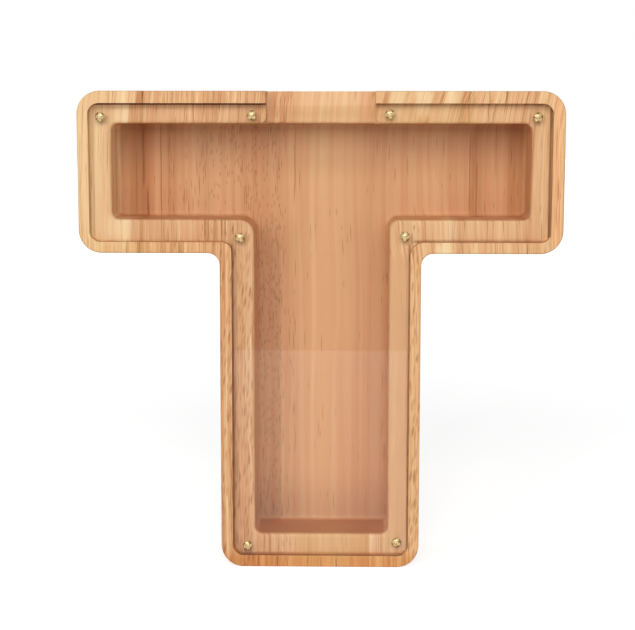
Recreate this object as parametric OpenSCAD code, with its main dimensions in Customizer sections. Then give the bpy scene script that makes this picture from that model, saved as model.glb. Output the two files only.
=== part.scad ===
// Free-standing wooden money box in the shape of a capital T.
// Upright staves are glued edge to edge into one block.  The block is milled out from the
// front: a rebate for the clear panel, a coin space behind it and a coin slot in the top.
// Millimetres.  +Z up, the front faces -Y, the origin is at the middle of the foot.

/* [Block] */
// Width across the arms
overall_w = 200; // [180:1:240]
// Height of the letter
overall_h = 200; // [170:1:240]
// Depth of the block from front to back
depth = 40; // [34:1:60]
// Height of the arms
arm_h = 66.5; // [56:0.5:80]
// Width of the stem
stem_w = 83.5; // [76:0.5:110]
// Radius of the outer corners
corner_r = 9.5; // [6:0.5:14]
// Radius of the outer corners under the arms
pit_r = 5; // [3:0.5:10]
// Rounding of the outer front and back edges
edge_r = 0.8; // [0.3:0.1:1.5]

/* [Staves] */
// First glue line, left of the centre line by
glue_1 = 66; // [60:1:75]
// Second glue line, left of the centre line by
glue_2 = 11; // [4:1:20]
// Third glue line, right of the centre line by
glue_3 = 21; // [12:1:24]
// Fourth glue line, right of the centre line by
glue_4 = 63; // [58:1:75]

/* [Rim and coin space] */
// Width of the rim around the panel
rim_w = 5; // [3:0.5:8]
// Width of the ledge that the panel lies on
ledge_w = 8.3; // [7:0.1:12]
// Thickness of the wood behind the coin space
back_t = 12; // [6:0.5:14]
// Radius of the rebate's outer corners
rebate_r = 4.5; // [3:0.5:6]
// Radius of the rebate's corner under the left arm
rebate_pit_left_r = 4; // [3:0.5:8]
// Radius of the rebate's corner under the right arm
rebate_pit_right_r = 5.5; // [3:0.5:8]
// Radius of the coin space's outer corners
space_r = 3; // [2.5:0.5:6]
// Radius of the coin space's corner under the left arm
space_pit_left_r = 6.5; // [3:0.5:8]
// Radius of the coin space's corner under the right arm
space_pit_right_r = 4; // [3:0.5:8]
// Rounding of the ledge's edge at the coin space
mouth_r = 1.4; // [0.6:0.1:1.6]
// Radius between the coin space's floor and its walls
floor_r = 2; // [1:0.5:2]

/* [Coin slot] */
// Length of the slot along the top
slot_w = 45; // [28:1:50]
// Width of the slot behind the panel
slot_gap = 5.5; // [4.5:0.5:8]
// Rounding of the ledge at the slot's ends
slot_end_r = 3; // [1:0.5:4]

/* [Panel] */
// Thickness of the clear panel
panel_t = 3; // [2:0.5:5]
// How far the panel's face lies below the rim
panel_sunk = 1.5; // [1.4:0.1:3]
// Gap between the panel's edge and the rim
panel_gap = 0.7; // [0.7:0.1:1.5]
// Angle by which the loosely fitting panel lies turned in the rebate
panel_turn = 0.3; // [0:0.1:0.3]
// How far the loosely fitting panel has sunk in the rebate
panel_drop = 0.2; // [0:0.1:0.2]
// Air between the panel and the ledge
panel_air = 0.1; // [0.05:0.05:0.3]

/* [Screws] */
// Diameter of the screw head
head_d = 4; // [3.4:0.1:4.4]
// Height of the screw head
head_h = 1.3; // [1:0.1:1.4]
// Diameter over the thread
thread_d = 2.2; // [1.8:0.1:2.6]
// Diameter of the core between the threads
core_d = 1.5; // [1.2:0.1:1.6]
// Distance from one thread to the next
thread_pitch = 0.8; // [0.6:0.1:1]
// Depth of the thread in the wood
bite = 7; // [5:0.5:10]
// Length of the conical point
point_l = 1.6; // [1:0.1:2]
// Width of the cross recess's arms
cross_w = 0.55; // [0.4:0.05:0.7]
// Length of the cross recess's arms
cross_l = 2.4; // [2:0.1:2.6]
// Depth of the cross recess
cross_deep = 0.7; // [0.5:0.1:0.8]
// Clearance around the thread in its pilot hole
pilot_clear = 0.05; // [0.02:0.01:0.1]
// Clearance around the thread in the panel
hole_clear = 0.1; // [0.05:0.05:0.4]
// Distance from the coin slot's end to the screw beside it
slot_screw_in = 6; // [5:0.5:10]
// Distance of the screws under the arms from the edges of stem and arm
pit_screw_in = 7.5; // [6:0.5:9]

/* [Hidden] */
$fn = 64;
over = 1;                                   // how far a cut runs past a face
half_w = overall_w / 2;
half_stem = stem_w / 2;
arm_z = overall_h - arm_h;                  // underside of the arms
rebate_depth = panel_t + panel_sunk + panel_air;
ledge_y = depth - rebate_depth;             // the ledge's distance from the back
wall = rim_w + ledge_w;                     // wood around the coin space
slot_floor = ledge_y - slot_gap;
panel_back = ledge_y + panel_air;
shank_l = panel_t + panel_air + bite;
pilot_l = bite + 1;                         // the hole is a little deeper than the screw
mid_ledge = rim_w + ledge_w / 2;

// Insets from the outer outline are lists of seven, in this order: left end, right end, top,
// under the arms, left side of the stem, right side of the stem, foot.
function all_round(a) = [for (i = [0:6]) a];
// How far the hand-guided cutter strayed outwards, and how far short the panel's ends are sawn
rebate_stray = [0.5, 0, 0, 0.4, 0.1, 0.5, 0];
space_stray = [0, 0, 0, -0.5, -0.8, 0.2, 0];
panel_stray = [-0.5, -0.5, 0, 0, 0, 0, 0];
rebate_inset = all_round(rim_w) - rebate_stray;
space_inset = all_round(wall) - space_stray;
panel_inset = all_round(rim_w + panel_gap) - panel_stray;

// Glue lines from left to right, with the block's two sides
glue_x = [-half_w, -glue_1, -glue_2, glue_3, glue_4, half_w];
stave_tone = ["#dfb27a", "#d3a06a", "#e0a878", "#dca772", "#d9a060"];

// Screw places on the middle of the ledge, and how far each hand-set screw strays from there
screw_place = [
    [-half_w + mid_ledge, overall_h - mid_ledge],
    [-slot_w / 2 - slot_screw_in, overall_h - mid_ledge],
    [slot_w / 2 + slot_screw_in, overall_h - mid_ledge],
    [half_w - mid_ledge, overall_h - mid_ledge],
    [-half_stem + pit_screw_in, arm_z + pit_screw_in],
    [half_stem - pit_screw_in, arm_z + pit_screw_in],
    [-half_stem + mid_ledge, mid_ledge],
    [half_stem - mid_ledge, mid_ledge]
];
screw_stray = [
    [0.4, -1.4], [0.3, -0.7], [-0.2, -0.2], [-2.2, -1.4],
    [0.9, -1], [0.7, -0.4], [1.9, -0.3], [-0.2, 1.4]
];
turn_step = 37;                             // how far each screw is turned past the one before

// Turns a shape drawn flat, with its front up, to stand with its front towards -Y
module upright() {
    translate([0, depth / 2, 0]) rotate([90, 0, 0]) children();
}

// Flat rectangle from corner lo to corner hi with round corners
module round_rect(lo, hi, r) {
    difference() {
        translate(lo) square(hi - lo);
        for (i = [0, 1], j = [0, 1])
            translate([i == 0 ? lo.x : hi.x, j == 0 ? lo.y : hi.y])
                mirror([i, 0]) mirror([0, j]) difference() {
                    translate([-over, -over]) square(r + over);
                    translate([r, r]) circle(r);
                }
    }
}

// Web that rounds the corner between the stem and an arm
module pit_web(side, under, r) {
    translate([half_stem - side, arm_z + under - r]) difference() {
        translate([-over, 0]) square([r + over, r + over]);
        translate([r, 0]) circle(r);
    }
}

// Flat outline of the letter, moved in by the seven insets
module letter(inset, r, left_r, right_r) {
    top = overall_h - inset[2];
    under = arm_z + inset[3];
    round_rect([-half_w + inset[0], under], [half_w - inset[1], top], r);
    difference() {
        round_rect([-half_stem + inset[4], inset[6]], [half_stem - inset[5], top - r], r);
        translate([-half_stem, arm_z + arm_h / 2]) square([stem_w, arm_h]);
    }
    pit_web(inset[5], inset[3], right_r);
    mirror([1, 0]) pit_web(inset[4], inset[3], left_r);
}

// Section of the cutter that rounds an edge: x is away from the wood and y is towards the face
module edge_section(e) {
    difference() {
        translate([-e, -e]) square(e + over);
        translate([-e, -e]) circle(e);
    }
}

// The cutters below go around an outline against the clock.  hole is 0 where the wood lies
// inside the outline and 1 where it lies around it.

// Cutter along a straight edge from p towards the angle a
module edge_run(p, a, length, e, hole) {
    translate(p) rotate([0, 0, a]) rotate([90, 0, 90]) linear_extrude(length)
        mirror([1 - hole, 0]) edge_section(e);
}

// Cutter around a corner arc that bulges outwards, from the angle a on
module edge_corner(centre, a, r, e, hole) {
    translate(centre) rotate([0, 0, a]) rotate_extrude(angle = 90)
        translate([r, 0]) mirror([hole, 0]) edge_section(e);
}

// Cutter around a corner arc that the arm and the stem leave between them
module edge_pit(centre, a, r, e, hole) {
    translate(centre) rotate([0, 0, a]) rotate_extrude(angle = 90)
        translate([r, 0]) mirror([1 - hole, 0]) edge_section(e);
}

// Cutters for the right half of the letter's outline, with its insets as
// [end, top, under the arm, side of the stem, foot]
module half_edge(inset, r, pit, e, hole) {
    x_end = half_w - inset[0];
    z_top = overall_h - inset[1];
    z_under = arm_z + inset[2];
    x_stem = half_stem - inset[3];
    z_foot = inset[4];
    edge_run([0, z_foot], 0, x_stem - r, e, hole);
    edge_corner([x_stem - r, z_foot + r], -90, r, e, hole);
    edge_run([x_stem, z_foot + r], 90, z_under - pit - z_foot - r, e, hole);
    edge_pit([x_stem + pit, z_under - pit], 90, pit, e, hole);
    edge_run([x_stem + pit, z_under], 0, x_end - r - x_stem - pit, e, hole);
    edge_corner([x_end - r, z_under + r], -90, r, e, hole);
    edge_run([x_end, z_under + r], 90, z_top - z_under - 2 * r, e, hole);
    edge_corner([x_end - r, z_top - r], 0, r, e, hole);
    edge_run([x_end - r, z_top], 180, x_end - r, e, hole);
}

// Cutters all along the letter's outline
module letter_edge(inset, r, left_r, right_r, e, hole) {
    half_edge([for (i = [1, 2, 3, 5, 6]) inset[i]], r, right_r, e, hole);
    mirror([1, 0, 0]) half_edge([for (i = [0, 2, 3, 4, 6]) inset[i]], r, left_r, e, hole);
}

module outer_edge() {
    letter_edge(all_round(0), corner_r, pit_r, pit_r, edge_r, 0);
}

// Room for the coins behind the ledge, with a rounded floor edge and a rounded mouth
module coin_space() {
    difference() {
        translate([0, 0, back_t]) linear_extrude(depth)
            letter(space_inset, space_r, space_pit_left_r, space_pit_right_r);
        translate([0, 0, back_t]) mirror([0, 0, 1])
            letter_edge(space_inset, space_r, space_pit_left_r, space_pit_right_r, floor_r, 0);
    }
    translate([0, 0, ledge_y])
        letter_edge(space_inset, space_r, space_pit_left_r, space_pit_right_r, mouth_r, 1);
}

// Recess that the panel lies in
module rebate() {
    translate([0, 0, ledge_y]) linear_extrude(depth)
        letter(rebate_inset, rebate_r, rebate_pit_left_r, rebate_pit_right_r);
}

// Slot through the rim and the ledge, with rounded ledge ends
module coin_slot() {
    translate([0, 0, slot_floor]) {
        linear_extrude(depth)
            translate([-slot_w / 2, overall_h - wall - over]) square([slot_w, wall + 2 * over]);
        edge_run([slot_w / 2, overall_h - space_inset[2]], 180, slot_w, mouth_r, 1);
        linear_extrude(slot_gap + over)
            for (side = [0, 1])
                mirror([side, 0]) translate([slot_w / 2, overall_h - wall]) difference() {
                    translate([-over, -over]) square(slot_end_r + over);
                    translate([slot_end_r, slot_end_r]) circle(slot_end_r);
                }
    }
}

function screw_at(i) = screw_place[i] + screw_stray[i];

module pilot_holes() {
    for (i = [0:len(screw_place) - 1])
        translate([screw_at(i).x, screw_at(i).y, ledge_y - pilot_l])
            cylinder(d = thread_d + 2 * pilot_clear, h = pilot_l + over);
}

// The milled block before it is told apart into its staves
module block() {
    upright() difference() {
        linear_extrude(depth) letter(all_round(0), corner_r, pit_r, pit_r);
        coin_space();
        rebate();
        coin_slot();
        pilot_holes();
        translate([0, 0, depth]) outer_edge();
        mirror([0, 0, 1]) outer_edge();
    }
}

// One stave of the block, counted from the left
module stave(i) {
    left = glue_x[i] - (i == 0 ? over : 0);
    right = glue_x[i + 1] + (i == len(glue_x) - 2 ? over : 0);
    color(stave_tone[i]) intersection() {
        block();
        translate([left, -depth, -over]) cube([right - left, 2 * depth, overall_h + 2 * over]);
    }
}

module front_panel() {
    color([0.9, 0.85, 0.8, 0.35])
        upright() translate([0, 0, panel_back]) difference() {
            translate([0, overall_h / 2 - panel_drop, 0]) rotate([0, 0, panel_turn])
                translate([0, -overall_h / 2, 0]) linear_extrude(panel_t)
                    letter(panel_inset, rebate_r - panel_gap,
                        rebate_pit_left_r + panel_gap, rebate_pit_right_r + panel_gap);
            for (i = [0:len(screw_place) - 1])
                translate([screw_at(i).x, screw_at(i).y, -over])
                    cylinder(d = thread_d + 2 * hole_clear, h = panel_t + 2 * over);
        }
}

// Low dome on a straight rim, with a cross recess
module screw_head() {
    rim_h = head_h * 0.4;
    dome_h = head_h - rim_h;
    dome_r = (head_d * head_d / 4 + dome_h * dome_h) / (2 * dome_h);
    difference() {
        intersection() {
            cylinder(d = head_d, h = head_h);
            translate([0, 0, head_h - dome_r]) sphere(dome_r);
        }
        translate([0, 0, head_h - cross_deep]) for (a = [0, 90])
            rotate([0, 0, a]) translate([-cross_l / 2, -cross_w / 2, 0])
                cube([cross_l, cross_w, cross_deep + over]);
    }
}

// Shank down the -Z axis: thread rings on a core, then the point
module screw_shank() {
    straight = shank_l - point_l;
    rings = floor(straight / thread_pitch);
    flank = (thread_d - core_d) / 2;
    teeth = [for (k = [0:rings - 1]) let(y = -k * thread_pitch - thread_pitch / 2)
        each [[core_d / 2, y + flank / 2], [thread_d / 2, y], [core_d / 2, y - flank / 2]]];
    rotate_extrude()
        polygon(concat([[0, 0], [core_d / 2, 0]], teeth, [[core_d / 2, -straight], [0, -shank_l]]));
}

// One screw of the eight, driven home on the panel
module screw(i) {
    color("#c9a64a")
        upright() translate([screw_at(i).x, screw_at(i).y, panel_back + panel_t])
            rotate([0, 0, i * turn_step]) {
                screw_head();
                screw_shank();
            }
}

stave(0);  // stave_far_left
stave(1);  // stave_left
stave(2);  // stave_middle
stave(3);  // stave_right
stave(4);  // stave_far_right
front_panel();
screw(0);  // screw_arm_left
screw(1);  // screw_slot_left
screw(2);  // screw_slot_right
screw(3);  // screw_arm_right
screw(4);  // screw_pit_left
screw(5);  // screw_pit_right
screw(6);  // screw_foot_left
screw(7);  // screw_foot_right
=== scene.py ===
"""Looks of the letter money box: upright wood, a clear panel, brass screws and a white studio."""
import math
import bpy
from mathutils import Matrix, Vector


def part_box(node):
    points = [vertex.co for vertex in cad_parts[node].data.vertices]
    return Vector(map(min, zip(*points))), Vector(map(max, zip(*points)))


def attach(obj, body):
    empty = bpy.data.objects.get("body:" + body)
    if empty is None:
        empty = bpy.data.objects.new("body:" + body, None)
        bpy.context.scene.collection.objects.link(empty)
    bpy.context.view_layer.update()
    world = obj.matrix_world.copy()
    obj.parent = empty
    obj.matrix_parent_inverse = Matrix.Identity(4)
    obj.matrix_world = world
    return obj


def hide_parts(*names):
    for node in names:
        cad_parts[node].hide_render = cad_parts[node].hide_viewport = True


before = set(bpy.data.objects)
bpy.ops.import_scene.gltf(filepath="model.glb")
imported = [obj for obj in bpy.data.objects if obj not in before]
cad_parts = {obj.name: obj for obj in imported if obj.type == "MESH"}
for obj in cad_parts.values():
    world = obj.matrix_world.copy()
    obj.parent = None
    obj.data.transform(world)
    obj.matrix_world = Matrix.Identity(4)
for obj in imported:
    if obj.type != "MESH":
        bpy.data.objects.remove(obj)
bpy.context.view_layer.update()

# The photograph's camera, in metres and degrees
CAMERA_AT = (0.0107, -0.636, 0.1902)
CAMERA_PITCH = 7.6          # looks down by
CAMERA_YAW = 1.1            # looks left by
CAMERA_ROLL = 0.08
LENS_MM = 84.9
SENSOR_MM = 36.0

# Studio, in metres and degrees
AIM_HEIGHT = 0.13           # height of the box that the lamps face
LAMP_AWAY = 1.6             # how far the lamps stand from the box
LAMP_LOW, LAMP_HIGH = 6.0, 36.0
FLOOR_FRONT = 0.607         # how far the white table runs in front of the box
FLOOR_REACH = 6.0
WORLD_LIGHT = 0.30
FLOOR_WHITE = 0.8           # how much light the table scatters
FLOOR_GLOW = 0.64, 0.92     # brings the table up to white, near the box and far from it
GLOW_FROM, GLOW_TO = 0.15, 1.6
# name, degrees to the right, degrees wide, share of the light on the front
LAMPS = [("key", 0.0, 24.0, 0.38), ("strip_left", -25.0, 3.0, 0.18), ("strip_right", 19.0, 3.0, 0.08)]


# ---------------------------------------------------------------- nodes

class Tree:
    """A node tree with short calls for the nodes that the materials use."""

    def __init__(self, tree):
        self.tree = tree
        self.tree.nodes.clear()

    def add(self, kind, settings=None, **inputs):
        made = self.tree.nodes.new(kind)
        for name, value in (settings or {}).items():
            setattr(made, name, value)
        for name, value in inputs.items():
            self.put(made.inputs[name.replace("_", " ")], value)
        return made

    def put(self, socket, value):
        if isinstance(value, bpy.types.NodeSocket):
            self.tree.links.new(value, socket)
        elif value is not None:
            socket.default_value = value

    def math(self, operation, *values, clamp=False):
        made = self.tree.nodes.new("ShaderNodeMath")
        made.operation = operation
        made.use_clamp = clamp
        for socket, value in zip(made.inputs, values):
            self.put(socket, value)
        return made.outputs[0]

    def times(self, first, *others):
        """The product of several masks."""
        for other in others:
            first = self.math("MULTIPLY", first, other)
        return first

    def between(self, value, low, start, end, high):
        """1 from start to end, and 0 below low and above high."""
        return self.times(self.ramp(value, low, start), self.ramp(value, end, high, 1.0, 0.0))

    def join(self, x, y, z):
        return self.add("ShaderNodeCombineXYZ", X=x, Y=y, Z=z).outputs[0]

    def ramp(self, value, low, high, to_low=0.0, to_high=1.0, smooth=True):
        made = self.tree.nodes.new("ShaderNodeMapRange")
        made.interpolation_type = "SMOOTHSTEP" if smooth else "LINEAR"
        for socket, given in zip(made.inputs, (value, low, high, to_low, to_high)):
            self.put(socket, given)
        return made.outputs[0]

    def mix(self, share, a, b, blend="MIX"):
        made = self.tree.nodes.new("ShaderNodeMix")
        made.data_type = "RGBA"
        made.blend_type = blend
        self.put(made.inputs[0], share)
        self.put(made.inputs[6], a)
        self.put(made.inputs[7], b)
        return made.outputs[2]

    def noise(self, vector, detail=2.0, rough=0.5, flat=False):
        made = self.add("ShaderNodeTexNoise", {"noise_dimensions": "2D" if flat else "3D"},
                        Vector=vector, Scale=1.0, Detail=detail, Roughness=rough)
        return made.outputs[0]

    def place_mm(self):
        """The point on the piece in millimetres, as three numbers."""
        vector = self.add("ShaderNodeVectorMath", {"operation": "SCALE"}, Scale=1000.0,
                          Vector=self.add("ShaderNodeTexCoord").outputs["Object"])
        return self.add("ShaderNodeSeparateXYZ", Vector=vector.outputs[0]).outputs

    def surface(self, shader):
        self.tree.links.new(shader.outputs[0], self.add("ShaderNodeOutputMaterial").inputs[0])


def linear(r, g, b):
    """A colour as read on screen, from 0 to 255, as Blender's linear one."""
    def one(v):
        v /= 255
        return v / 12.92 if v <= 0.04045 else ((v + 0.055) / 1.055) ** 2.4
    return (one(r), one(g), one(b), 1.0)


def new_material(name):
    material = bpy.data.materials.new(name)
    material.use_nodes = True
    return material, Tree(material.node_tree)


# ---------------------------------------------------------------- wood

CREAM = linear(243, 211, 165)
STRAW = linear(236, 201, 152)
HONEY = linear(233, 190, 141)
APRICOT = linear(228, 179, 131)
AMBER = linear(220, 168, 121)
PEACH = linear(240, 184, 134)
TAN = linear(206, 152, 102)
OCHRE = linear(214, 162, 92)
RUSSET = linear(188, 124, 75)
RUST = linear(160, 96, 43)
UMBER = linear(108, 60, 18)
FLOOR_SHADE = 0.91, 0.84, 0.81, 1                      # painted shade: the coin space's floor, darker and redder
FOOT_WALL_SHADE = linear(232, 206, 172)                # painted shade: the coin space's wall at the foot, darker than its end grain's tint alone
PORE = linear(152, 84, 28)
LATE_WOOD = linear(218, 192, 166)               # tints the dark side of each growth band
WARMTH = linear(246, 222, 206)                  # tints broad stretches
SAWN_END = linear(214, 180, 150)                # tints end grain
BEHIND_RIM_LIGHT = 1.04, 1.06, 1.08, 1                    # painted light: the wood behind the rim's front face, under the panel and beyond, paler
EDGE_REFLECTION = 1.25, 1.40, 1.33, 1                  # painted reflection: the strip under the panel's lower edge, paler as if the sheet's edge mirrored the ledge
LIT_LEFT_WALL = 1.12, 1.30, 1.40, 1                 # painted light: the coin space's wall at the left end, paler
FRONT_FACE_TINT = 1.0, 0.99, 0.94, 1                       # the rim's front face: a little warmer than the wood behind it
FOOT_TONE = linear(238, 212, 178)                   # the foot: darker and warmer towards its front bottom edge
CORNER_SHADE = linear(118, 70, 24)                   # painted shade: the corner between the rim and the ledge
# The rebate's outer edges, in millimetres
LEFT_END, RIGHT_END, TOP, UNDER = -95.5, 95.0, 195.0, 138.1
STEM_LEFT, STEM_RIGHT, FOOT = -36.85, 37.25, 5.0
SLANT = 0.7                 # how far the growth rings run sideways for each millimetre of depth


def tone_bands(t, across, stops):
    """Colour across a stave: stops are (millimetres from the middle, colour), left to right."""
    low, high = stops[0][0], stops[-1][0]
    made = t.tree.nodes.new("ShaderNodeValToRGB")
    t.put(made.inputs[0], t.ramp(across, low, high, smooth=False))
    elements = made.color_ramp.elements
    elements[0].color, elements[1].color = stops[0][1], stops[-1][1]
    for x, colour in stops[1:-1]:
        elements.new((x - low) / (high - low)).color = colour
    return made.outputs[0]


def crevice(t, x, y, z):
    """How dark the painted shade in the rebate's outer corner is, from 0 to 1: each side has its own
    strength.
    """
    def line(across, edge, inward, strength):
        aside = t.math("ABSOLUTE", t.math("SUBTRACT", across, edge + inward * 0.15))
        return t.ramp(aside, 0.2, 0.75, strength, 0.0)

    ends = t.math("MAXIMUM", line(x, LEFT_END, 1, 0.15), line(x, RIGHT_END - 0.4, -1, 0.75))
    top = t.math("MULTIPLY", line(z, TOP, -1, 1.0), t.ramp(x, -12, 30, 0.9, 0.1))
    stem = t.math("MULTIPLY", t.math("MAXIMUM", line(x, STEM_LEFT, 1, 0.5), line(x, STEM_RIGHT, -1, 0.5)),
                  t.ramp(z, UNDER, UNDER - 2))
    arms = t.math("MULTIPLY", line(z, UNDER, 1, 0.5), t.ramp(t.math("ABSOLUTE", x), 37, 40))
    arms = t.math("MULTIPLY", arms, t.ramp(x, -40, 40, 0.2, 1.0))
    sides = t.math("MAXIMUM", t.math("MAXIMUM", ends, top), t.math("MAXIMUM", stem, arms))
    aside = t.math("ABSOLUTE", x)
    sides = t.times(sides, t.between(y, -19, -17, -15, -14),
                    t.ramp(aside, 96, 97, 1.0, 0.0), t.ramp(z, 196, 197, 1.0, 0.0))
    foot = t.times(line(z, FOOT, 1, 1.0), t.between(y, -20.0, -19.95, -17.9, -17.7),
                   t.ramp(aside, 38, 39, 1.0, 0.0))
    return t.math("MAXIMUM", t.math("MULTIPLY", sides, t.ramp(z, 3.5, 4.5)), foot)


def coin_space(t, x, y, z):
    """1 on the coin space's walls and floor, well behind the panel."""
    aside = t.math("ABSOLUTE", x)
    arms = t.math("MULTIPLY", t.ramp(z, 143, 145), t.ramp(aside, 89, 91, 1.0, 0.0))
    stem = t.math("MULTIPLY", t.ramp(z, 10, 12), t.ramp(aside, 31, 33, 1.0, 0.0))
    outline = t.math("MULTIPLY", t.math("MAXIMUM", arms, stem), t.ramp(z, 190, 192, 1.0, 0.0))
    return t.math("MULTIPLY", outline, t.math("MULTIPLY", t.ramp(y, -2, 4), t.ramp(y, 12, 14, 1.0, 0.0)))


def hollow(t, x, z):
    """Painted shade on the coin space's floor: under its top, towards its foot, beside the stem's walls."""
    top = t.math("MULTIPLY", t.ramp(z, 160, 174), t.ramp(z, 176, 188, 1.0, 0.1))
    dull = t.math("MULTIPLY_ADD", top, 0.17, t.ramp(z, 40, 13, 0.0, 0.17))
    beside = t.math("MULTIPLY", t.ramp(t.math("ABSOLUTE", t.math("SUBTRACT", x, 0.5)), 3, 17),
                    t.ramp(z, 152, 138))
    return t.math("SUBTRACT", 1.0, t.math("MULTIPLY_ADD", beside, t.ramp(x, -10, 10, 0.11, 0.07), dull))


def grain_sway(t, z, seed):
    """How a single streak wanders sideways as it climbs."""
    return t.noise(t.join(seed, 0.0, t.math("MULTIPLY", z, 0.08)), 2.0)


def wood(name, seed, front, deep, pores, contrast=1.0, lines=0.5, bow=1.0, speckle=None, strokes=None,
         marks=()):
    """Upright straight-grained wood.
    front, deep: tone bands of the faces and of the coin space's floor.  pores: the share of cells with a
    pore.  contrast: of the growth bands and fibres.  lines: how strong the long thin lines are.
    bow: how far the grain bends in the arms.  speckle: the stretch of x that is full of short pores.
    strokes: the stretch of x where the stem's face has soft leaning strokes.
    marks: upright streaks as (x, half width, lowest z, highest z, where, colour, strength)."""
    material, t = new_material(name)
    x, y, z = t.place_mm()

    slow = t.join(t.math("MULTIPLY", x, 0.02), t.math("MULTIPLY_ADD", y, 0.02, seed),
                  t.math("MULTIPLY", z, 0.009))
    sway = t.noise(slow, 1.0)
    bend = t.math("POWER", t.math("ABSOLUTE", t.ramp(z, 130, 200, -0.75, 1.0, smooth=False)), 4.0)
    across = t.math("ADD", t.math("MULTIPLY_ADD", y, SLANT, x),
                    t.math("MULTIPLY_ADD", sway, 5.0, t.math("MULTIPLY", bend, -bow)))
    near = t.math("ADD", x, t.math("MULTIPLY_ADD", sway, 2.4, -1.2))
    wavy = t.math("ADD", x, t.math("MULTIPLY_ADD", grain_sway(t, z, seed), 0.8, -0.4))

    def grain(per_mm, along, detail=2.0, rough=0.5, shift=0.0):
        """Noise drawn out upright, with so many features per millimetre across and along."""
        return t.noise(t.join(t.math("MULTIPLY_ADD", across, per_mm, seed * 7),
                              t.math("MULTIPLY_ADD", z, along, seed + shift), 0.0), detail, rough, flat=True)

    def dashes(per_mm, along, size, chance, shift=0.0, lean=0.0):
        """Short upright marks: one cell in so many holds one."""
        cell = t.join(t.math("MULTIPLY_ADD", t.math("MULTIPLY_ADD", z, -lean, across), per_mm, shift + seed),
                      t.math("MULTIPLY", z, along), 0.0)
        dots = t.add("ShaderNodeTexVoronoi", {"voronoi_dimensions": "2D"},
                     Vector=cell, Scale=1.0, Randomness=1.0)
        lot = t.add("ShaderNodeSeparateColor", Color=dots.outputs["Color"]).outputs[0]
        there = t.math("LESS_THAN", lot, chance)
        return t.math("MULTIPLY", t.ramp(dots.outputs["Distance"], size * 0.35, size, 1.0, 0.0), there)

    inside = coin_space(t, x, y, z)
    outside = t.ramp(y, -14, -8, 1.0, 0.0)
    base = t.mix(inside, tone_bands(t, near, front), tone_bands(t, x, deep))

    # growth bands, then fibre
    wide = grain(0.17, 0.003)
    middle = grain(0.60, 0.006, 3.0, 0.6, shift=3.0)
    fine = grain(2.3, 0.022, 2.0, 0.6, shift=7.0)
    hair = grain(4.2, 0.07, 1.0, shift=11.0)
    bands = t.math("MULTIPLY_ADD", t.math("SUBTRACT", wide, 0.5), 0.30,
                   t.math("MULTIPLY", t.math("SUBTRACT", middle, 0.5), 0.55))
    bands = t.math("MULTIPLY", bands, t.ramp(inside, 0, 1, 1.0, 0.32, smooth=False))
    soft = t.ramp(inside, 0, 1, 1.0, 0.55, smooth=False)
    shade = t.math("MULTIPLY_ADD", t.math("SUBTRACT", fine, 0.5), t.math("MULTIPLY", soft, 0.42), bands)
    shade = t.math("MULTIPLY_ADD", t.math("SUBTRACT", hair, 0.5), t.math("MULTIPLY", soft, 0.34), shade)
    shade = t.math("MULTIPLY", shade, t.ramp(y, -18, -16, contrast * 1.3, contrast))
    colour = t.mix(t.ramp(shade, 0.0, 0.30, 0.0, 1.2), base, t.mix(1.0, base, LATE_WOOD, "MULTIPLY"))
    colour = t.mix(t.math("MULTIPLY", t.ramp(shade, -0.28, 0.0, 0.7, 0.0), soft), colour, CREAM)
    warm = grain(0.30, 0.004, 1.0, shift=19.0)
    colour = t.mix(t.ramp(warm, 0.42, 0.62, 0.0, 0.45), colour, WARMTH, "MULTIPLY")

    # long thin dark lines, where a broad noise allows them
    contour = t.math("ABSOLUTE", t.math("SUBTRACT", grain(0.9, 0.004, 1.0, shift=23.0), 0.5))
    allowed = t.math("MULTIPLY", t.ramp(grain(0.3, 0.02, 1.0, shift=29.0), 0.48, 0.60),
                     t.ramp(inside, 0, 1, 1.0, 0.6, smooth=False))
    line = t.math("MULTIPLY", t.ramp(contour, 0.003, 0.018, 1.0, 0.0), allowed)
    colour = t.mix(t.math("MULTIPLY", line, lines), colour, RUST)

    # pores: short upright dashes, in crowds
    crowd = t.ramp(grain(0.22, 0.012, 1.0, shift=31.0), 0.36, 0.60, 0.12, 1.0)
    chance = t.math("MULTIPLY", crowd, pores)
    long_pore = dashes(1.1, 0.05, 0.28, chance)
    short_pore = dashes(1.4, 0.12, 0.28, t.math("MULTIPLY", chance, 0.6), 40.0)
    pore = t.math("MAXIMUM", long_pore, short_pore)
    colour = t.mix(t.math("MULTIPLY", pore, 0.5), colour, PORE)
    if speckle:
        low, high = speckle
        zone = t.math("MULTIPLY", t.ramp(x, low - 1, low + 1), t.ramp(x, high - 0.5, high + 0.5, 1.0, 0.0))
        zone = t.math("MULTIPLY", zone, t.ramp(z, 130, 150, 1.0, 0.45))
        speck = dashes(0.95, 0.30, 0.38, t.times(zone, inside, 0.5), 80.0, 0.08)
        colour = t.mix(t.math("MULTIPLY", speck, 0.42), colour, RUST)
    if strokes:
        low, high = strokes
        zone = t.math("MULTIPLY", t.ramp(x, low, low + 1), t.ramp(x, high - 1, high, 1.0, 0.0))
        zone = t.math("MULTIPLY", t.math("MULTIPLY", zone, t.ramp(z, 150, 140)), outside)
        stroke = dashes(0.75, 0.13, 0.42, t.math("MULTIPLY", zone, 0.55), 120.0, 0.1)
        colour = t.mix(t.math("MULTIPLY", stroke, 0.5), colour, RUSSET)
        deep_stroke = dashes(0.6, 0.10, 0.30, t.math("MULTIPLY", zone, 0.35), 160.0, 0.1)
        colour = t.mix(t.math("MULTIPLY", deep_stroke, 0.6), colour, RUST)

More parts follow.
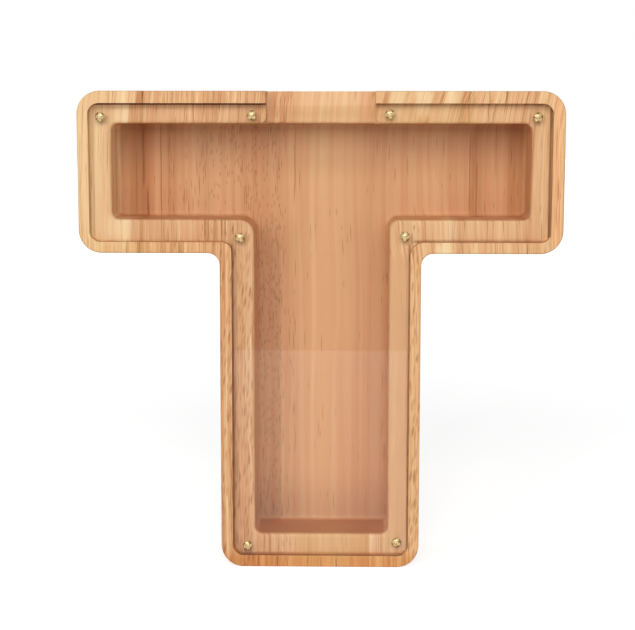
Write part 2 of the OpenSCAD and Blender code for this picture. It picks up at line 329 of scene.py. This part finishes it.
    for at, half, low, high, where, stain, strength in marks:
        mask = t.ramp(t.math("ABSOLUTE", t.math("SUBTRACT", wavy, at)), half * 0.3, half, 1.0, 0.0)
        mask = t.math("MULTIPLY", mask, t.ramp(z, low - 3, low + 3))
        mask = t.math("MULTIPLY", mask, t.ramp(z, high - 3, high + 3, 1.0, 0.0))
        if where != "all":
            mask = t.math("MULTIPLY", mask, inside if where == "deep" else outside)
        broken = t.ramp(grain(1.0, 0.05, shift=at), 0.3, 0.6, 0.55, 1.0)
        colour = t.mix(t.math("MULTIPLY", mask, t.math("MULTIPLY", broken, strength)), colour, stain)

    # wood behind the rim's front face is painted paler, as painted light, the rebate's corner gets painted
    # shade, the foot is darker and warmer towards its front edge, and end grain is tinted
    normal = t.add("ShaderNodeSeparateXYZ", Vector=t.add("ShaderNodeNewGeometry").outputs["True Normal"])
    floor = t.math("MULTIPLY", inside, t.ramp(t.math("ABSOLUTE", normal.outputs["Y"]), 0.3, 0.8))
    end = t.ramp(t.math("ABSOLUTE", normal.outputs["Z"]), 0.6, 0.95)
    # painted light: the wood behind the rim's front face is paler, and the front face a little warmer
    colour = t.mix(1.0, colour, t.mix(t.ramp(y, -18, -16), FRONT_FACE_TINT, BEHIND_RIM_LIGHT), "MULTIPLY")
    sideways = t.ramp(t.math("ABSOLUTE", normal.outputs["X"]), 0.5, 0.9)
    # painted light on the coin space's wall at the left end
    lit_left_wall = t.times(sideways, t.ramp(y, -15.4, -14.5), t.ramp(x, -82, -85), t.ramp(x, -89, -88))
    colour = t.mix(lit_left_wall, colour, t.mix(1.0, colour, LIT_LEFT_WALL, "MULTIPLY"))
    flank = t.math("MULTIPLY", sideways, t.ramp(t.math("ABSOLUTE", x), 98, 99.5))
    colour = t.mix(t.math("MULTIPLY", flank, 0.5), colour, AMBER)
    # painted shade on the coin space's floor: a darker, redder tint and the hollow's shade
    shaded_floor = t.mix(1.0, t.mix(1.0, colour, FLOOR_SHADE, "MULTIPLY"), hollow(t, x, z), "MULTIPLY")
    colour = t.mix(floor, colour, shaded_floor)
    # painted shade in the rebate's outer corner
    colour = t.mix(crevice(t, x, y, z), colour, CORNER_SHADE, "MULTIPLY")
    # painted reflection on the strip under the panel's lower edge
    strip = t.times(t.ramp(t.math("ABSOLUTE", t.math("SUBTRACT", z, FOOT)), 0.3, 0.5, 1.0, 0.0),
                    t.ramp(t.math("ABSOLUTE", x), 38, 39, 1.0, 0.0), t.between(y, -17.8, -17.6, -16.2, -15.7))
    colour = t.mix(strip, colour, t.mix(1.0, colour, EDGE_REFLECTION, "MULTIPLY"))
    # darker and warmer towards the foot's front bottom edge
    colour = t.mix(t.ramp(t.math("MULTIPLY_ADD", y, 0.5, z), -1, -7.5, 0.0, 0.9), colour, FOOT_TONE, "MULTIPLY")
    colour = t.mix(t.math("MULTIPLY", end, 0.5), colour, base)
    colour = t.mix(t.math("MULTIPLY", end, 0.45), colour, SAWN_END, "MULTIPLY")
    # painted shade on the coin space's wall at the foot, over its end grain
    shaded_foot_wall = t.times(end, t.ramp(z, 20, 16), t.ramp(z, 11, 12), t.between(y, -14, -13, 12, 14))
    colour = t.mix(shaded_foot_wall, colour, FOOT_WALL_SHADE, "MULTIPLY")

    relief = t.math("SUBTRACT", t.math("MULTIPLY_ADD", hair, 0.35, t.math("MULTIPLY", fine, 0.4)), pore)
    bump = t.add("ShaderNodeBump", Height=relief, Strength=0.3, Distance=0.00012)
    shader = t.add("ShaderNodeBsdfPrincipled", Base_Color=colour, Roughness=t.ramp(fine, 0.3, 0.7, 0.5, 0.62),
                   Specular_IOR_Level=0.3, Normal=bump.outputs[0])
    t.surface(shader)
    return material


STAVES = {
    "stave_far_left": wood(
        "wood_far_left", 1.3,
        front=[(-100, STRAW), (-92, STRAW), (-87, HONEY), (-81, CREAM), (-78, APRICOT), (-74, TAN),
               (-71, AMBER), (-66, AMBER)],
        # deep: the left end wall is set pale, partly its own pale wood and partly painted light, and the
        # floor beside it darker, partly painted shade
        deep=[(-89, CREAM), (-86.8, CREAM), (-85.5, AMBER), (-80, TAN), (-78.5, TAN), (-77, RUSSET),
              (-75.5, RUSSET), (-73.5, TAN), (-71, AMBER), (-66, AMBER)],
        pores=0.04, lines=0.2,
        marks=[(-76.4, 0.6, 160, 184, "deep", UMBER, 0.7), (-74.5, 0.6, 146, 159, "deep", UMBER, 0.7),
               (-68.8, 0.4, 147, 186, "deep", RUST, 0.7), (-79.5, 0.3, 150, 175, "deep", RUST, 0.4),
               (-65.9, 0.45, 120, 153, "front", RUST, 0.9), (-72.6, 0.35, 195, 204, "front", UMBER, 0.85),
               (-80.2, 0.3, 128, 138, "front", UMBER, 0.7), (-74.8, 0.5, 128, 138, "front", RUST, 0.8),
               (-85.0, 7.0, 139, 148, "front", CREAM, 0.6),
               (-75.0, 30.0, 129, 137, "front", OCHRE, 0.3),
               (-93.0, 7.0, 192, 204, "front", APRICOT, 0.5)]),
    "stave_left": wood(
        "wood_left", 2.7,
        front=[(-66, APRICOT), (-57, APRICOT), (-50, APRICOT), (-44, AMBER), (-37, AMBER), (-30, AMBER),
               (-18, AMBER), (-11, APRICOT)],
        deep=[(-66, TAN), (-62, AMBER), (-55, APRICOT), (-50, AMBER), (-43, APRICOT), (-30, AMBER),
              (-18.5, AMBER), (-17, APRICOT), (-11, APRICOT)],
        pores=0.5, speckle=(-48, -17.3), strokes=(-42, -27.5),
        marks=[(-48.0, 0.5, 139, 149, "front", RUST, 0.8), (-46.6, 0.4, 139, 149, "front", RUST, 0.6),
               (-43.8, 0.5, 139, 149, "front", RUST, 0.7), (-41.0, 0.5, 139, 149, "front", RUST, 0.9),
               (-39.6, 0.4, 139, 149, "front", RUST, 0.8), (-58.4, 0.4, 128, 138, "front", RUST, 0.7),
               (-52.4, 0.3, 186, 204, "front", RUST, 0.6), (-47.9, 0.3, 192, 204, "front", RUST, 0.6),
               (-41.8, 0.3, 192, 204, "front", RUST, 0.6), (-11.4, 0.35, 158, 184, "deep", RUST, 0.7)]),
    "stave_middle": wood(
        "wood_middle", 4.1,
        front=[(-11, APRICOT), (-5, APRICOT), (2, HONEY), (10, HONEY), (15, APRICOT), (21, AMBER)],
        deep=[(-11, APRICOT), (0, HONEY), (10, APRICOT), (21, AMBER)],
        pores=0.05, contrast=0.65, lines=0.3,
        marks=[(6.9, 0.4, -4, 5, "front", UMBER, 0.8), (0.5, 0.35, -4, 5, "front", RUST, 0.6),
               (-5.0, 0.4, 2, 12, "front", RUST, 0.5), (5.0, 30.0, 185, 194.5, "front", TAN, 0.3),
               (5.0, 40.0, 4, 14, "front", OCHRE, 0.5),
               (5.0, 40.0, 189, 194, "all", OCHRE, 0.3)]),
    "stave_right": wood(
        "wood_right", 6.2, bow=4.0,
        front=[(21, APRICOT), (36, HONEY), (42, APRICOT), (49, APRICOT), (53, CREAM), (58, AMBER),
               (63, HONEY)],
        deep=[(21, AMBER), (40, APRICOT), (51, APRICOT), (58, AMBER), (63, AMBER)],
        pores=0.07, strokes=(36.5, 42),
        marks=[(42.0, 5.0, 190, 204, "front", CREAM, 0.9), (50.0, 4.0, 120, 138, "front", CREAM, 0.9),
               (31.0, 5.0, 188, 204, "front", CREAM, 0.6), (60.7, 0.5, 188, 204, "front", RUST, 0.5),
               (45.0, 40.0, 185, 194.5, "front", OCHRE, 0.4),
               (32.5, 6.5, 12, 132, "front", AMBER, 1.0)]),
    "stave_far_right": wood(
        "wood_far_right", 8.9, bow=3.0,
        front=[(63, HONEY), (70, APRICOT), (74, HONEY), (79, APRICOT), (86, AMBER), (92, HONEY), (95, HONEY),
               (96.5, PEACH), (98, PEACH), (99, HONEY), (100, STRAW)],
        # deep: the right end wall is set paler than the floor beside it, as painted light
        deep=[(63, AMBER), (67, TAN), (71, AMBER), (77, AMBER), (80, TAN), (85.6, TAN), (86.8, HONEY),
              (88, HONEY)],
        pores=0.16,
        marks=[(64.6, 2.6, 145, 182, "deep", RUSSET, 0.7), (63.4, 0.5, 150, 180, "deep", RUST, 0.5),
               (66.4, 0.5, 147, 170, "deep", RUST, 0.6), (74.5, 0.5, 165, 190, "deep", RUSSET, 0.6),
               (75.7, 0.35, 195, 204, "front", UMBER, 0.85), (85.3, 0.35, 128, 138, "front", UMBER, 0.6),
               (68.8, 0.5, 188, 204, "front", RUST, 0.5), (97.4, 0.4, 155, 164, "front", RUST, 0.7)]),
}


# ---------------------------------------------------------------- panel and screws

# Screws, in millimetres
HEAD_R, HEAD_H, HEAD_RIM = 2.0, 1.3, 0.5
ARM_HALF, ARM_REACH, RECESS = 0.32, 1.25, 0.7      # the cross recess
CORE_R, THREAD_R, PITCH, POINT_L = 0.75, 1.1, 0.8, 1.6
THREAD_STEP = 0.08          # between the rings of points along the thread
THREAD_HALF = 0.28          # half the crest's width at its foot, as a share of the pitch
AROUND, HEAD_RINGS = 64, 22
TURN_STEP = 37              # how far each screw is turned past the one before, in degrees


def acrylic():
    """Clear sheet: it mirrors on its outer face, more at a slant, tints a little and lets lamps through."""
    material, t = new_material("clear_acrylic")
    x, y, z = t.place_mm()
    facing = t.add("ShaderNodeLayerWeight", Blend=0.5).outputs["Facing"]
    mirror = t.math("MULTIPLY_ADD", t.math("POWER", facing, 5.0), 0.96, 0.04)
    outer = t.math("LESS_THAN", y, -17.0)
    haze = t.noise(t.join(*(t.math("MULTIPLY", place, 0.06) for place in (x, y, z))))
    tint = t.mix(t.ramp(haze, 0.3, 0.7), (0.998, 0.996, 0.992, 1), (0.994, 0.990, 0.984, 1))
    normal = t.add("ShaderNodeSeparateXYZ", Vector=t.add("ShaderNodeNewGeometry").outputs["True Normal"])
    path = t.add("ShaderNodeLightPath")
    lamp_ray = t.math("MAXIMUM", path.outputs["Is Shadow Ray"], path.outputs["Is Diffuse Ray"])
    sawn = t.mix(lamp_ray, (0.97, 0.94, 0.90, 1), (0.80, 0.75, 0.68, 1))
    tint = t.mix(t.ramp(t.math("ABSOLUTE", normal.outputs["Y"]), 0.3, 0.7, 1.0, 0.0), tint, sawn)
    clear = t.add("ShaderNodeBsdfTransparent", Color=tint)
    gloss = t.add("ShaderNodeBsdfGlossy", Color=(1, 1, 1, 1), Roughness=0.015)
    mixed = t.add("ShaderNodeMixShader")
    parts = t.math("MULTIPLY", mirror, outer), clear.outputs[0], gloss.outputs[0]
    for socket, value in zip(mixed.inputs, parts):
        t.put(socket, value)
    t.surface(mixed)
    return material


def brass():
    """Plated brass, with a painted highlight in the cross recess and a painted dark reflection on the dome's
    shoulder between its arms.
    """
    material, t = new_material("plated_brass")
    x, y, z = t.place_mm()
    rates = (x, 1.7), (y, 0.9), (z, 1.7)
    stain = t.noise(t.join(*(t.math("MULTIPLY", place, rate) for place, rate in rates)), 3.0)
    aside, up = t.math("ABSOLUTE", x), t.math("ABSOLUTE", z)
    nearer, farther = t.math("MINIMUM", aside, up), t.math("MAXIMUM", aside, up)
    cross = t.math("MULTIPLY", t.ramp(nearer, ARM_HALF, ARM_HALF + 0.25, 1.0, 0.0),
                   t.ramp(farther, ARM_REACH, ARM_REACH + 0.4, 1.0, 0.0))
    shoulder = t.math("MULTIPLY", t.ramp(nearer, 0.45, 1.0), t.ramp(farther, 0.7, 1.2))
    shoulder = t.math("MULTIPLY", shoulder, t.ramp(stain, 0.35, 0.6, 0.35, 1.0))
    colour = t.mix(t.ramp(stain, 0.35, 0.65), linear(208, 176, 126), linear(180, 150, 98))
    # painted dark reflection on the dome's shoulder
    colour = t.mix(shoulder, colour, linear(108, 88, 42))
    # painted highlight in the cross recess, on top of the head
    colour = t.mix(t.math("MULTIPLY", cross, t.ramp(y, -2.0, 0.5, 1.0, 0.0)), colour, linear(255, 240, 202))
    t.surface(t.add("ShaderNodeBsdfPrincipled", Base_Color=colour, Metallic=1.0,
                    Roughness=t.ramp(stain, 0.3, 0.7, 0.30, 0.42)))
    return material


def head_height(u, v):
    """The head's top above the panel, in millimetres: a low dome with a tapered cross recess."""
    dome = HEAD_RIM + (HEAD_H - HEAD_RIM) * (1 - (u * u + v * v) / HEAD_R ** 2)

    def arm(along, across):
        end = min(1.0, max(0.0, (ARM_REACH - abs(along)) / 0.4))
        side = min(1.0, max(0.0, (ARM_HALF - abs(across)) / 0.12))
        return end * side

    return dome - RECESS * max(arm(u, v), arm(v, u))


def screw_rings(length):
    """The screw as rings of (u, v, height) points, from the middle of the head to the point of the shank."""
    steps = [2 * math.pi * k / AROUND for k in range(AROUND)]
    radii = [HEAD_R * (k + 1) / HEAD_RINGS for k in range(HEAD_RINGS)]
    rings = [[(r * math.cos(a), r * math.sin(a)) for a in steps] for r in radii]
    rings = [[(u, v, head_height(u, v)) for u, v in ring] for ring in rings]
    for r in (HEAD_R, HEAD_R - 0.08, CORE_R):
        height = HEAD_RIM / 2 if r == HEAD_R else 0.0
        rings.append([(r * math.cos(a), r * math.sin(a), height) for a in steps])
    down = 0.0
    while down < length - THREAD_STEP:
        taper = min(1.0, (length - down) / POINT_L)
        ring = []
        for a in steps:
            turn = (down / PITCH + a / (2 * math.pi)) % 1.0
            crest = max(0.0, 1 - abs(turn - 0.5) / THREAD_HALF) * min(1.0, down / PITCH)
            r = taper * (CORE_R + (THREAD_R - CORE_R) * crest)
            ring.append((r * math.cos(a), r * math.sin(a), -down))
        rings.append(ring)
        down += THREAD_STEP
    return rings


def phillips_screw(node, turn, material):
    """A detailed screw in the place of the CAD one: recessed head, helical thread, point."""
    low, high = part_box(node)
    middle = ((low[0] + high[0]) / 2, low[1] + HEAD_H / 1000, (low[2] + high[2]) / 2)
    length = (high[1] - middle[1]) * 1000
    rings = screw_rings(length)
    points = [(0.0, 0.0, head_height(0, 0))] + [p for ring in rings for p in ring] + [(0.0, 0.0, -length)]
    last, faces = len(points) - 1, []
    for k in range(AROUND):
        after = (k + 1) % AROUND
        faces.append((0, 1 + k, 1 + after))
        for row in range(len(rings) - 1):
            here, below = 1 + row * AROUND, 1 + (row + 1) * AROUND
            faces.append((here + k, below + k, below + after, here + after))
        faces.append((last - AROUND + k, last, last - AROUND + after))
    mesh = bpy.data.meshes.new("phillips_" + node)
    mesh.from_pydata([(u / 1000, -h / 1000, v / 1000) for u, v, h in points], [], faces)
    mesh.shade_smooth()
    mesh.set_sharp_from_angle(angle=math.radians(35))
    mesh.materials.append(material)
    piece = bpy.data.objects.new("phillips_" + node, mesh)
    bpy.context.scene.collection.objects.link(piece)
    piece.location = middle
    piece.rotation_euler = (0, math.radians(turn), 0)
    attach(piece, node)
    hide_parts(node)


def dress(node, material):
    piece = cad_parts[node]
    piece.data.materials.clear()
    piece.data.materials.append(material)


# ---------------------------------------------------------------- studio

def make_camera():
    data = bpy.data.cameras.new("camera")
    data.lens = LENS_MM
    data.sensor_width = SENSOR_MM
    camera = bpy.data.objects.new("camera", data)
    bpy.context.scene.collection.objects.link(camera)
    turn = (Matrix.Rotation(math.radians(CAMERA_YAW), 4, "Z")
            @ Matrix.Rotation(math.radians(90 - CAMERA_PITCH), 4, "X")
            @ Matrix.Rotation(math.radians(CAMERA_ROLL), 4, "Z"))
    camera.matrix_world = Matrix.Translation(CAMERA_AT) @ turn
    bpy.context.scene.camera = camera


def lamp(name, right, wide, share):
    """An upright soft box that faces the box.  share: how much of a white front's full light it gives."""
    low, high = (LAMP_AWAY * math.tan(math.radians(a)) for a in (LAMP_LOW, LAMP_HIGH))
    turn = math.radians(right)
    middle = AIM_HEIGHT + (low + high) / 2
    data = bpy.data.lights.new(name, "AREA")
    data.shape = "RECTANGLE"
    data.size = 2 * LAMP_AWAY * math.tan(math.radians(wide / 2))
    data.size_y = high - low
    away = math.hypot(LAMP_AWAY, middle - AIM_HEIGHT)
    slant = LAMP_AWAY / away
    data.energy = share * math.pi ** 2 * away ** 2 / (slant * slant * math.cos(turn))
    made = bpy.data.objects.new(name, data)
    bpy.context.scene.collection.objects.link(made)
    made.location = (LAMP_AWAY * math.sin(turn), -LAMP_AWAY * math.cos(turn), middle)
    made.rotation_euler = (math.radians(90), 0, turn)


def seen_rays(t):
    """1 for the rays that show a background: the camera's, and those off metal and through glass."""
    path = t.add("ShaderNodeLightPath")
    seen = t.math("MAXIMUM", path.outputs["Is Camera Ray"], path.outputs["Is Glossy Ray"])
    return t.math("MAXIMUM", seen, path.outputs["Is Transmission Ray"])


def make_world():
    world = bpy.data.worlds.new("world")
    bpy.context.scene.world = world
    world.use_nodes = True
    t = Tree(world.node_tree)
    light = t.add("ShaderNodeBackground", Color=(1, 1, 1, 1), Strength=WORLD_LIGHT)
    white = t.add("ShaderNodeBackground", Color=(1, 1, 1, 1), Strength=1.0)
    both = t.add("ShaderNodeMixShader")
    for socket, value in zip(both.inputs, (seen_rays(t), light.outputs[0], white.outputs[0])):
        t.put(socket, value)
    t.tree.links.new(both.outputs[0], t.add("ShaderNodeOutputWorld").inputs[0])


def flat_piece(name, corners):
    mesh = bpy.data.meshes.new(name)
    mesh.from_pydata(corners, [], [(0, 1, 2, 3)])
    piece = bpy.data.objects.new(name, mesh)
    bpy.context.scene.collection.objects.link(piece)
    return piece


def make_floor():
    front, back, side = -FLOOR_FRONT, FLOOR_REACH, FLOOR_REACH
    floor = flat_piece("floor", [(-side, front, 0), (side, front, 0), (side, back, 0), (-side, back, 0)])
    material, t = new_material("white_table")
    white = (FLOOR_WHITE, FLOOR_WHITE, FLOOR_WHITE, 1)
    diffuse = t.add("ShaderNodeBsdfDiffuse", Color=white)
    away = t.add("ShaderNodeVectorMath", {"operation": "LENGTH"},
                 Vector=t.add("ShaderNodeTexCoord").outputs["Object"]).outputs["Value"]
    strength = t.math("MULTIPLY", seen_rays(t), t.ramp(away, GLOW_FROM, GLOW_TO, *FLOOR_GLOW))
    glow = t.add("ShaderNodeEmission", Color=(1, 1, 1, 1), Strength=strength)
    both = t.add("ShaderNodeAddShader")
    for socket, shader in zip(both.inputs, (diffuse, glow)):
        t.put(socket, shader.outputs[0])
    t.surface(both)
    floor.data.materials.append(material)


def make_dark_side():
    """The unlit room behind the camera, which only mirrors see: darker upwards from the table's edge."""
    away, low, high, side = 0.9, -0.3, 0.45, 1.2
    corners = [(-side, low), (side, low), (side, high), (-side, high)]
    card = flat_piece("dark_side", [(x, -away, z) for x, z in corners])
    material, t = new_material("dark_room")
    z = t.add("ShaderNodeSeparateXYZ", Vector=t.add("ShaderNodeTexCoord").outputs["Object"]).outputs["Z"]
    t.surface(t.add("ShaderNodeEmission", Color=(1, 1, 1, 1), Strength=t.ramp(z, -0.05, 0.2, 0.45, 0.03)))
    card.data.materials.append(material)
    card.visible_camera = card.visible_diffuse = card.visible_shadow = card.visible_transmission = False


for stave, material in STAVES.items():
    dress(stave, material)
dress("front_panel", acrylic())
metal = brass()
for count, node in enumerate(sorted(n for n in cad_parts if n.startswith("screw"))):
    phillips_screw(node, count * TURN_STEP, metal)

make_camera()
make_world()
make_floor()
make_dark_side()
for settings in LAMPS:
    lamp(*settings)
bpy.context.scene.view_settings.view_transform = "Standard"
